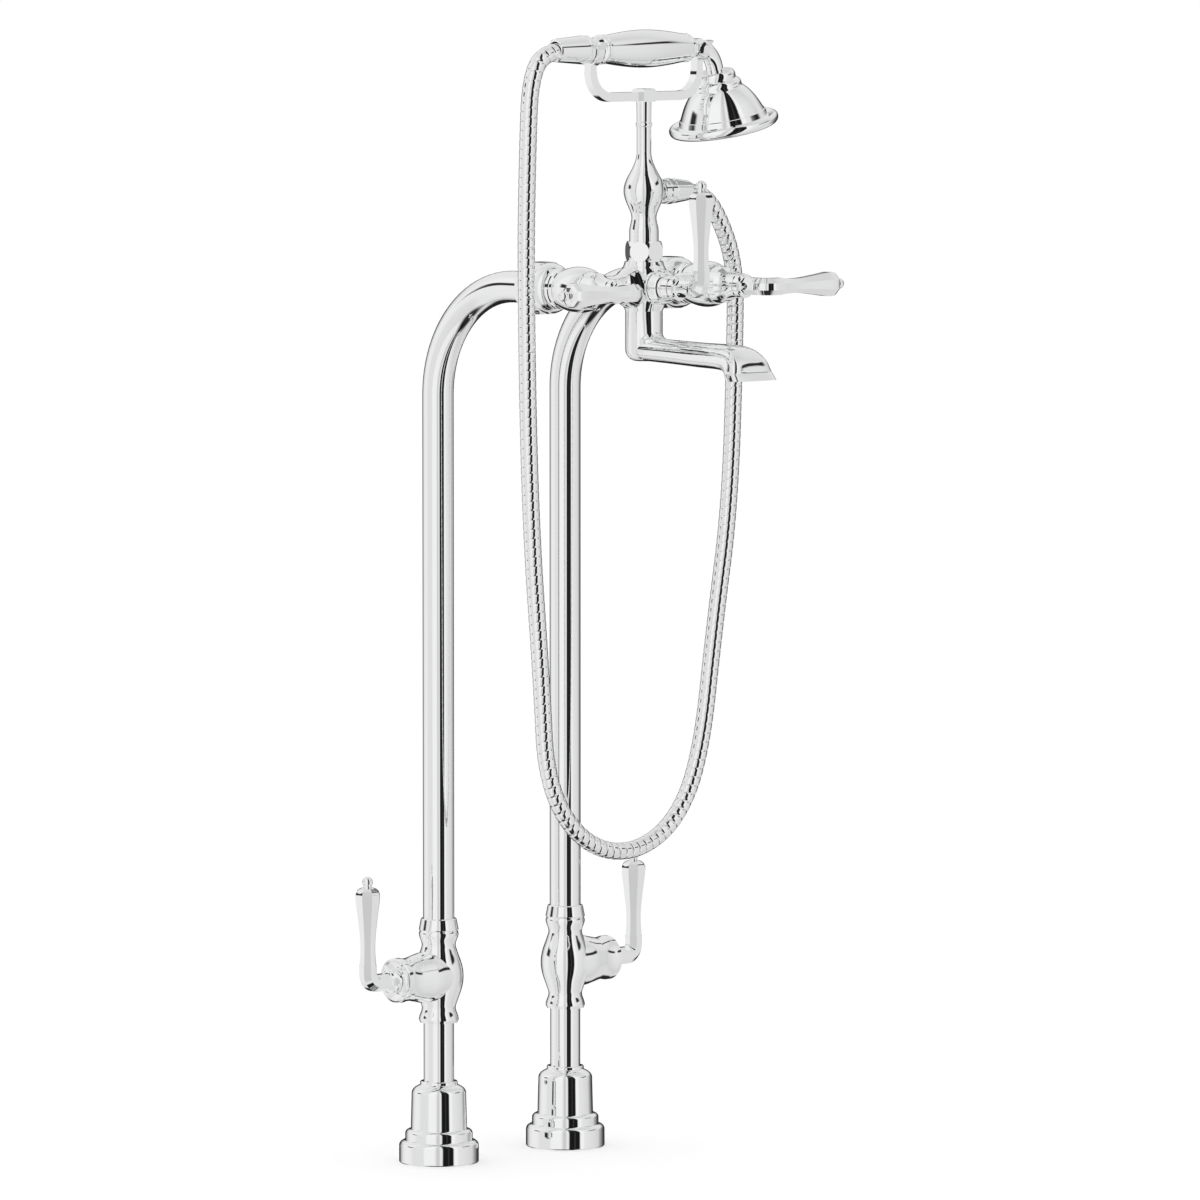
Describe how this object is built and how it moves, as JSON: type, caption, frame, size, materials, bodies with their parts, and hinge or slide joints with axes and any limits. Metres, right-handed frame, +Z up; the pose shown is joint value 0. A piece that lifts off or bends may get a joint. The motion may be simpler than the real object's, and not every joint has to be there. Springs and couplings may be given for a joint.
{
  "type": "floor standing bath filler",
  "caption": "Floor standing bath filler: two bent supply legs with stop valves, a lever mixer with a spout, and a telephone handset in a cradle on a ribbed hose.",
  "frame": {"origin": "on the floor, midway between the axes of the two supply legs", "axes": "+Z up, +Y to the back, so the mixer and spout stand out towards -Y; +X to the cold side, which is on the right seen from the bath"},
  "size_m": [0.3354, 0.3453, 0.9696],
  "materials": {
    "chrome": "polished chrome on brass",
    "hose": "polished, ribbed",
    "brass": "plain, machined",
    "steel": "plain",
    "rubber": "matte",
    "plastic": "matte"
  },
  "bodies": {
    "standpipes": {"left_floor_flange": "brass", "left_base_cover": "chrome", "left_stub_pipe": "chrome", "left_stop_body": "chrome", "left_stop_bonnet": "chrome", "left_stop_cartridge": "brass", "left_riser_collar": "chrome", "left_riser": "chrome", "left_union_nut": "chrome", "right_floor_flange": "brass", "right_base_cover": "chrome", "right_stub_pipe": "chrome", "right_stop_body": "chrome", "right_stop_bonnet": "chrome", "right_stop_cartridge": "brass", "right_riser_collar": "chrome", "right_riser": "chrome", "right_union_nut": "chrome", "hot_bonnet": "chrome", "hot_cartridge": "brass", "cold_bonnet": "chrome", "cold_cartridge": "brass", "diverter_bonnet": "chrome", "diverter_cartridge": "brass", "cover_grub_screws": "steel", "pipe_washers": "rubber", "mixer_body": "chrome", "spout": "chrome", "spout_flow_insert": "plastic", "hub_gaskets": "rubber", "column_nut": "chrome", "swan_column": "chrome", "cradle_fork": "chrome", "cradle_screw": "steel", "hose_outlet": "chrome", "outlet_hose_nut": "chrome", "shower_hose": "hose"},
    "hot_lever": {"hot_lever": "chrome", "hot_spindle": "steel", "hot_lever_screw": "steel"},
    "cold_lever": {"cold_lever": "chrome", "cold_spindle": "steel", "cold_lever_screw": "steel"},
    "diverter_lever": {"diverter_lever": "chrome", "diverter_spindle": "steel", "diverter_lever_screw": "steel"},
    "left_stop_lever": {"left_stop_lever": "chrome", "left_stop_spindle": "steel", "left_stop_lever_screw": "steel"},
    "right_stop_lever": {"right_stop_lever": "chrome", "right_stop_spindle": "steel", "right_stop_lever_screw": "steel"},
    "handset": {"handset_hose_nut": "chrome", "handset_collar": "chrome", "handset_grip": "chrome", "handset_neck": "chrome", "handset_bell": "chrome", "spray_plate": "plastic", "spray_gasket": "rubber"}
  },
  "joints": [
    {"name": "hot_turn", "type": "hinge", "parent": "standpipes", "child": "hot_lever", "pos_m": [-0.075, -0.174, 0.753], "axis": [0, -1, 0], "range_deg": [0, 90]},
    {"name": "cold_turn", "type": "hinge", "parent": "standpipes", "child": "cold_lever", "pos_m": [0.075, -0.174, 0.753], "axis": [0, 1, 0], "range_deg": [0, 90]},
    {"name": "diverter_turn", "type": "hinge", "parent": "standpipes", "child": "diverter_lever", "pos_m": [0, -0.174, 0.753], "axis": [0, 1, 0], "range_deg": [-45, 45]},
    {"name": "left_stop_turn", "type": "hinge", "parent": "standpipes", "child": "left_stop_lever", "pos_m": [-0.075, 0, 0.16], "axis": [1, 0, 0], "range_deg": [0, 90]},
    {"name": "right_stop_turn", "type": "hinge", "parent": "standpipes", "child": "right_stop_lever", "pos_m": [0.075, 0, 0.16], "axis": [1, 0, 0], "range_deg": [0, 90]},
    {"name": "handset_roll", "type": "hinge", "parent": "standpipes", "child": "handset", "pos_m": [0, -0.174, 0.9536], "axis": [1, 0, 0], "range_deg": [-90, 90]}
  ]
}
